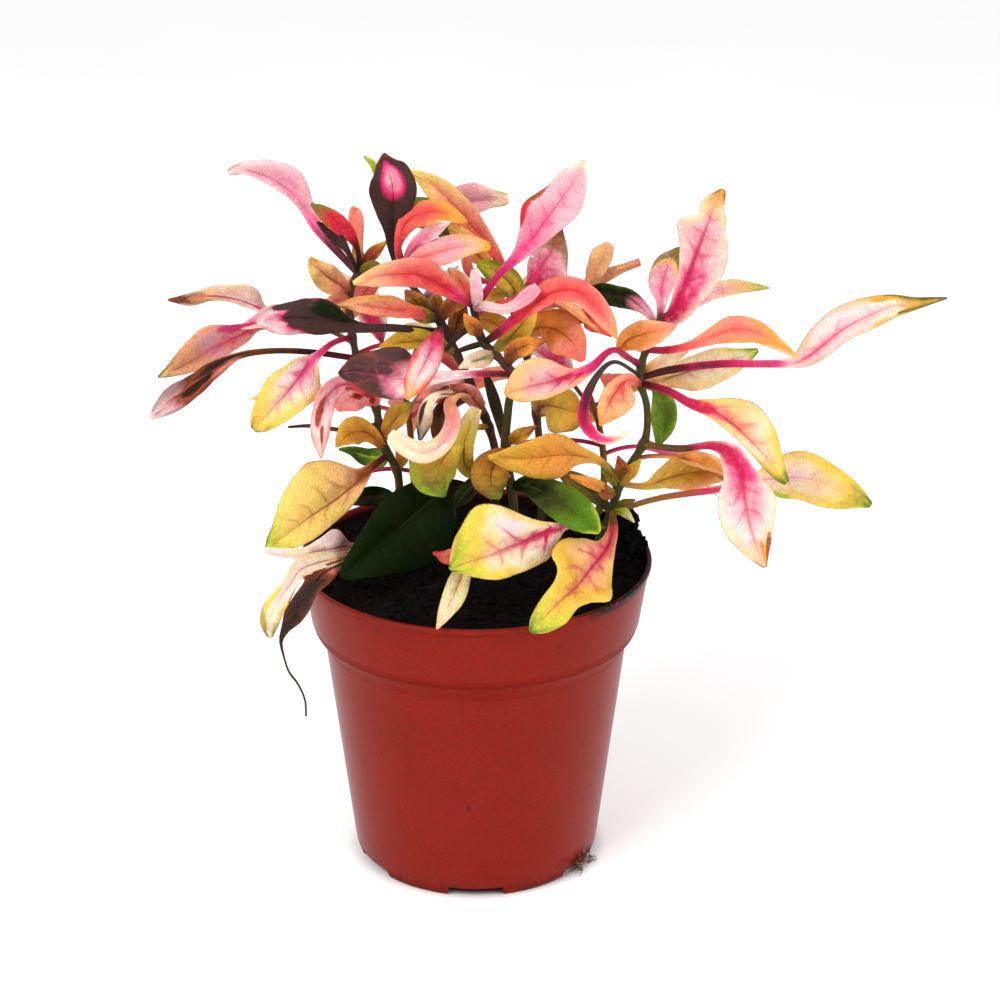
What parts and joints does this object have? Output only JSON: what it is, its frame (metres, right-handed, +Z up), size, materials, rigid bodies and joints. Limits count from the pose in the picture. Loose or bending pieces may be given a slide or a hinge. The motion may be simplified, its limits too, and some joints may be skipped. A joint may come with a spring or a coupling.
{
  "type": "potted plant",
  "caption": "Bushy alternanthera with pink, peach, yellow and green leaves in a round terracotta-red plastic nursery pot filled with dark peat.",
  "frame": {"origin": "Under the middle of the whole plant: x and y at the centre of the foliage's extent, z at the foot of the pot.", "axes": "+X to the right as the picture shows the plant, the foliage's longest extent; +Y away from the viewer; +Z up."},
  "size_m": [0.2646, 0.1592, 0.2571],
  "materials": {
    "pot_plastic": "injection-moulded terracotta-red plastic, softly satin, dusty with peat near the rim and foot",
    "peat": null,
    "roots": "thin dry brown roots with clinging peat",
    "foliage_left": null,
    "foliage_upper_left": null,
    "foliage_centre": null,
    "foliage_top": null,
    "foliage_right": null,
    "foliage_back_left": null,
    "foliage_back_right": null
  },
  "bodies": {
    "root": {"pot": "pot_plastic", "soil": "peat", "drain_roots": "roots", "stem_left": "foliage_left", "stem_upper_left": "foliage_upper_left", "stem_centre": "foliage_centre", "stem_top": "foliage_top", "stem_right": "foliage_right", "stem_back_left": "foliage_back_left", "stem_back_right": "foliage_back_right"}
  },
  "joints": []
}
